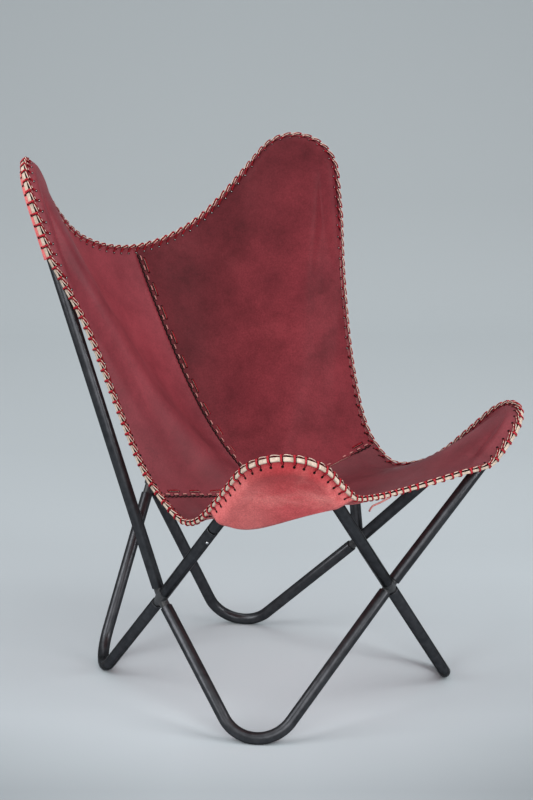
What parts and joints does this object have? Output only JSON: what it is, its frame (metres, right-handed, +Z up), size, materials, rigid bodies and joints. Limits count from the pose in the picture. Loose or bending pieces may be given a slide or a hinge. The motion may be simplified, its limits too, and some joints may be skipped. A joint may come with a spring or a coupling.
{
  "type": "butterfly sling chair",
  "caption": "Butterfly lounge chair: a laced leather sling hung by corner pockets on a plug-together frame of bent black steel tube, locked by spring buttons.",
  "frame": {"origin": "on the floor, under the middle of the chair's outline", "axes": "+Z up, the sitter faces -Y, the sitter's right hand is at -X"},
  "size_m": [0.7052, 0.697, 0.9052],
  "materials": {
    "tube_black": "satin black powder coat",
    "fitting_grey": "satin grey coat",
    "button_steel": "bright zinc",
    "spring_steel": "tempered",
    "leather_grain": "waxed oxblood grain side",
    "leather_flesh": "pink-red flesh side",
    "lace_red": "red lace with pale cut edges"
  },
  "bodies": {
    "chair": {"foot_bow_front_right": "tube_black", "foot_bow_front_left": "tube_black", "foot_bow_rear_right": "tube_black", "foot_bow_rear_left": "tube_black", "leg_front_side_right": "tube_black", "leg_front_side_left": "tube_black", "leg_front_cross_right": "tube_black", "leg_front_cross_left": "tube_black", "leg_rear_side_right": "tube_black", "leg_rear_side_left": "tube_black", "leg_rear_cross_right": "tube_black", "leg_rear_cross_left": "tube_black", "top_bow_front_right": "tube_black", "top_bow_front_left": "tube_black", "top_bow_rear_right": "tube_black", "top_bow_rear_left": "tube_black", "cross_fitting_right": "fitting_grey", "cross_fitting_left": "fitting_grey", "cross_fitting_front": "fitting_grey", "cross_fitting_rear": "fitting_grey", "button_spring_front_right": "spring_steel", "button_spring_front_left": "spring_steel", "button_spring_rear_right": "spring_steel", "button_spring_rear_left": "spring_steel", "back_panel_right": "leather_grain", "back_panel_left": "leather_grain", "seat_panel": "leather_grain", "pocket_front_right": "leather_flesh", "pocket_front_left": "leather_flesh", "pocket_rear_right": "leather_flesh", "pocket_rear_left": "leather_flesh", "edge_lace_back": "lace_red", "edge_lace_right": "lace_red", "edge_lace_left": "lace_red", "edge_lace_front": "lace_red", "back_seam_lace": "lace_red", "seat_seam_lace": "lace_red", "lace_tail": "lace_red"},
    "front_right_button": {"snap_button_front_right": "button_steel"},
    "front_left_button": {"snap_button_front_left": "button_steel"},
    "rear_right_button": {"snap_button_rear_right": "button_steel"},
    "rear_left_button": {"snap_button_rear_left": "button_steel"}
  },
  "joints": [
    {"name": "front_right_button_press", "type": "slide", "parent": "chair", "child": "front_right_button", "axis": [0.5448, 0.5213, 0.6568], "range_m": [0, 0.004], "stiffness_N_per_m": 1500, "springref_m": -0.002, "deforming": ["button_spring_front_right"]},
    {"name": "front_left_button_press", "type": "slide", "parent": "chair", "child": "front_left_button", "axis": [-0.5448, 0.5213, 0.6568], "range_m": [0, 0.004], "stiffness_N_per_m": 1500, "springref_m": -0.002, "deforming": ["button_spring_front_left"]},
    {"name": "rear_right_button_press", "type": "slide", "parent": "chair", "child": "rear_right_button", "axis": [0.6917, -0.6599, 0.2934], "range_m": [0, 0.004], "stiffness_N_per_m": 1500, "springref_m": -0.002, "deforming": ["button_spring_rear_right"]},
    {"name": "rear_left_button_press", "type": "slide", "parent": "chair", "child": "rear_left_button", "axis": [-0.6917, -0.6599, 0.2934], "range_m": [0, 0.004], "stiffness_N_per_m": 1500, "springref_m": -0.002, "deforming": ["button_spring_rear_left"]}
  ]
}
